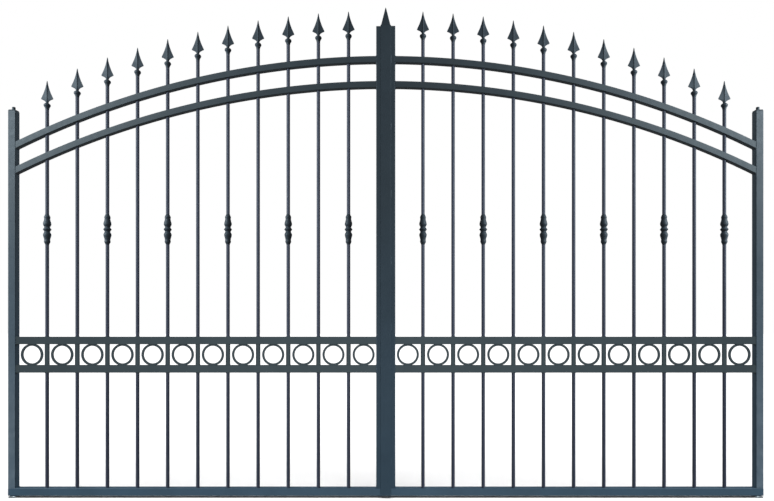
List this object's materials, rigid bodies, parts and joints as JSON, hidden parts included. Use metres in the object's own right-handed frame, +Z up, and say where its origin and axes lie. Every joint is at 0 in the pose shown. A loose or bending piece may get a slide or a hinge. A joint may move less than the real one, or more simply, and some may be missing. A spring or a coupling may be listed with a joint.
{
  "type": "garden gate",
  "caption": "Arched double-leaf metal garden gate with round bars, spear finials, a ring frieze, floor pivots and drop bolts.",
  "frame": {"origin": "on the ground at the middle of the opening, in the plane of the stiles' centres", "axes": "+X across the opening to the right as seen from outside, -Y towards the outside, +Z up"},
  "size_m": [3, 0.1123, 1.953],
  "materials": {
    "frame_paint": "satin anthracite-blue powder coat",
    "bar_paint": "satin anthracite-blue powder coat on round bar and forgings",
    "frieze_paint": "satin grey powder coat, slightly greener than the frame",
    "zinc_steel": "dull zinc plate",
    "nylon": "matte black"
  },
  "bodies": {
    "ground_fixings": {"left_floor_pivot": "zinc_steel", "right_floor_pivot": "zinc_steel", "floor_keep_plate": "zinc_steel"},
    "left_leaf": {"left_hinge_stile": "frame_paint", "left_meeting_stile": "frame_paint", "left_bottom_rail": "frame_paint", "left_upper_arch_rail": "frame_paint", "left_lower_arch_rail": "frame_paint", "left_ring_frieze": "frieze_paint", "left_pivot_cap": "frame_paint", "left_pivot_bush": "nylon", "left_bolt_guide": "frame_paint", "left_bar_01": "bar_paint", "left_bar_02": "bar_paint", "left_bar_03": "bar_paint", "left_bar_04": "bar_paint", "left_bar_05": "bar_paint", "left_bar_06": "bar_paint", "left_bar_07": "bar_paint", "left_bar_08": "bar_paint", "left_bar_09": "bar_paint", "left_bar_10": "bar_paint", "left_bar_11": "bar_paint", "left_knot_01": "bar_paint", "left_knot_03": "bar_paint", "left_knot_05": "bar_paint", "left_knot_07": "bar_paint", "left_knot_09": "bar_paint", "left_knot_11": "bar_paint"},
    "right_leaf": {"right_hinge_stile": "frame_paint", "right_meeting_stile": "frame_paint", "right_bottom_rail": "frame_paint", "right_upper_arch_rail": "frame_paint", "right_lower_arch_rail": "frame_paint", "right_ring_frieze": "frieze_paint", "right_pivot_cap": "frame_paint", "right_pivot_bush": "nylon", "right_bolt_guide": "frame_paint", "right_bar_01": "bar_paint", "right_bar_02": "bar_paint", "right_bar_03": "bar_paint", "right_bar_04": "bar_paint", "right_bar_05": "bar_paint", "right_bar_06": "bar_paint", "right_bar_07": "bar_paint", "right_bar_08": "bar_paint", "right_bar_09": "bar_paint", "right_bar_10": "bar_paint", "right_bar_11": "bar_paint", "right_knot_01": "bar_paint", "right_knot_03": "bar_paint", "right_knot_05": "bar_paint", "right_knot_07": "bar_paint", "right_knot_09": "bar_paint", "right_knot_11": "bar_paint", "cover_strip": "frame_paint", "centre_spike": "frame_paint"},
    "left_bolt": {"left_drop_bolt": "zinc_steel"},
    "right_bolt": {"right_drop_bolt": "zinc_steel"}
  },
  "joints": [
    {"name": "right_leaf_swing", "type": "hinge", "parent": "ground_fixings", "child": "right_leaf", "pos_m": [1.485, 0, 0], "axis": [0, 0, -1], "range_deg": [0, 95]},
    {"name": "left_leaf_swing", "type": "hinge", "parent": "ground_fixings", "child": "left_leaf", "pos_m": [-1.485, 0, 0], "axis": [0, 0, 1], "range_deg": [0, 95]},
    {"name": "right_drop_bolt_slide", "type": "slide", "parent": "right_leaf", "child": "right_bolt", "axis": [0, 0, -1], "range_m": [0, 0.1]},
    {"name": "left_drop_bolt_slide", "type": "slide", "parent": "left_leaf", "child": "left_bolt", "axis": [0, 0, -1], "range_m": [0, 0.1]}
  ],
  "couplings": [
    {"joint": "left_leaf_swing", "follows": "right_leaf_swing", "ratio": 1}
  ]
}
